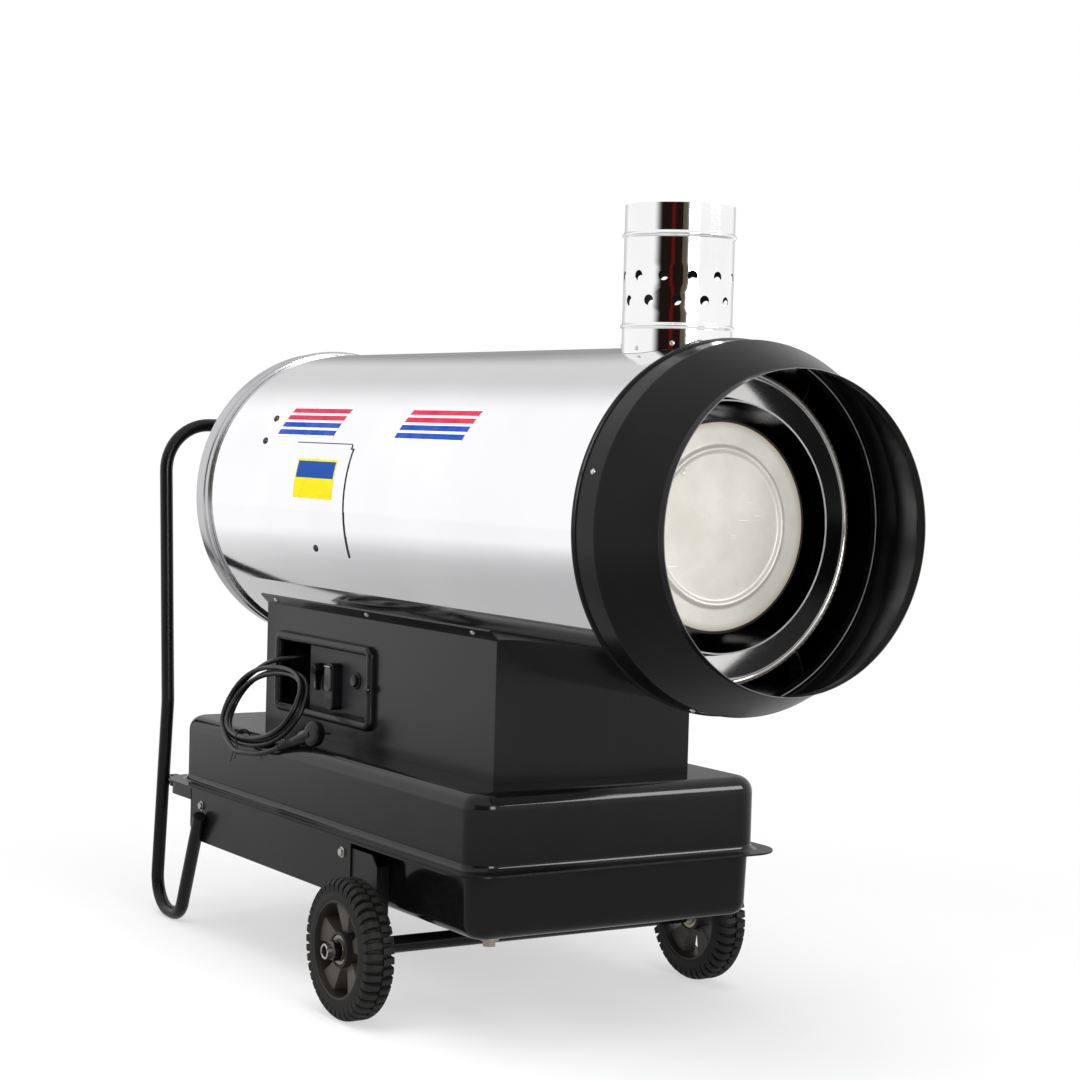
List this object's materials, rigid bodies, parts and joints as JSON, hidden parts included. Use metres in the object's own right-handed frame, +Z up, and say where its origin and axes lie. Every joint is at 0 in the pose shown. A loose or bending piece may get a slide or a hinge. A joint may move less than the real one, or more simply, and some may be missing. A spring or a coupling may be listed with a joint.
{
  "type": "indirect fired diesel heater",
  "caption": "Wheeled diesel heater: a polished drum with a perforated flue, outlet cone, control box, black fuel tank, push handle and spoked wheels.",
  "frame": {"origin": "floor level, at the middle of the length and width", "axes": "+X towards the warm air outlet, +Y away from the control side, +Z up"},
  "size_m": [1.446, 0.694, 1.157],
  "materials": {
    "polished_steel": "polished stainless sheet",
    "dark_paint": "satin near-black powder coat",
    "black_paint": "satin black",
    "tank_paint": "gloss black powder coat",
    "flue_steel": "brushed stainless",
    "heat_steel": "heat tinted",
    "raw_steel": "plain",
    "cast_alloy": "cast",
    "fan_alloy": "pressed",
    "motor_casing": "satin",
    "black_plastic": "moulded",
    "grey_plastic": "moulded",
    "cord_rubber": "flexible",
    "hose_rubber": "flexible",
    "tyre_rubber": "moulded tread",
    "rim_plastic": "moulded",
    "nickel": "plated",
    "brass": "plain"
  },
  "bodies": {
    "heater": {"drum_upper_shell": "polished_steel", "drum_lower_shell": "black_paint", "rear_trim_ring": "black_paint", "intake_guard": "black_paint", "front_hoop": "polished_steel", "outlet_cone": "dark_paint", "access_panel": "polished_steel", "flue_collar": "raw_steel", "flue_pipe": "flue_steel", "heat_exchanger": "heat_steel", "combustion_chamber": "heat_steel", "chamber_end_disc": "heat_steel", "gas_ducts": "heat_steel", "exchanger_spacers": "raw_steel", "fan_motor": "motor_casing", "motor_bracket": "black_paint", "burner_housing": "cast_alloy", "blast_tube": "raw_steel", "nozzle_holder": "raw_steel", "burner_motor": "motor_casing", "fuel_pump": "cast_alloy", "ignition_transformer": "grey_plastic", "control_box": "dark_paint", "control_bezel": "black_plastic", "control_plate": "grey_plastic", "control_unit": "grey_plastic", "thermostat_socket": "black_plastic", "cord_gland": "black_plastic", "cord_lead": "cord_rubber", "cord_coil": "cord_rubber", "cord_tail": "cord_rubber", "plug": "black_plastic", "tank_upper_half": "tank_paint", "tank_lower_half": "tank_paint", "drain_plug": "nickel", "fuel_gauge": "black_plastic", "tank_pickup": "brass", "fuel_hoses": "hose_rubber", "side_plates": "black_paint", "rear_crossmember": "black_paint", "axle_brackets": "black_paint", "axle_beam": "black_paint", "axle_tube": "nickel", "axle_nuts": "nickel", "handle_tube": "black_paint", "frame_bolts": "nickel"},
    "fan": {"axial_fan": "fan_alloy", "motor_shaft": "raw_steel"},
    "burner_wheel": {"blower_wheel": "fan_alloy"},
    "wheel_left": {"tyre_left": "tyre_rubber", "rim_left": "rim_plastic"},
    "wheel_right": {"tyre_right": "tyre_rubber", "rim_right": "rim_plastic"},
    "knob": {"switch_knob": "black_plastic"},
    "button": {"reset_button": "black_plastic"},
    "cover": {"socket_cover": "grey_plastic"},
    "cap": {"filler_cap": "black_plastic"}
  },
  "joints": [
    {"name": "fan_spin", "type": "hinge", "parent": "heater", "child": "fan", "pos_m": [-0.53, 0, 0.727], "axis": [1, 0, 0], "continuous": true},
    {"name": "burner_wheel_spin", "type": "hinge", "parent": "heater", "child": "burner_wheel", "pos_m": [-0.187, 0, 0.727], "axis": [0, 1, 0], "continuous": true},
    {"name": "wheel_left_spin", "type": "hinge", "parent": "heater", "child": "wheel_left", "pos_m": [0.111, 0.306, 0.102], "axis": [0, 1, 0], "continuous": true},
    {"name": "wheel_right_spin", "type": "hinge", "parent": "heater", "child": "wheel_right", "pos_m": [0.111, -0.306, 0.102], "axis": [0, 1, 0], "continuous": true},
    {"name": "knob_turn", "type": "hinge", "parent": "heater", "child": "knob", "pos_m": [-0.296, -0.16, 0.459], "axis": [0, 1, 0], "range_deg": [-45, 45]},
    {"name": "button_press", "type": "slide", "parent": "heater", "child": "button", "axis": [0, 1, 0], "range_m": [0, 0.003], "stiffness_N_per_m": 300, "springref_m": -0.002},
    {"name": "cover_lift", "type": "hinge", "parent": "heater", "child": "cover", "pos_m": [-0.236, -0.1738, 0.468], "axis": [-1, 0, 0], "range_deg": [0, 100], "stiffness_Nm_per_rad": 0.02, "springref_deg": -17.19},
    {"name": "cap_turn", "type": "hinge", "parent": "heater", "child": "cap", "pos_m": [-0.547, 0.12, 0.362], "axis": [0, 0, 1], "range_deg": [0, 90]}
  ]
}
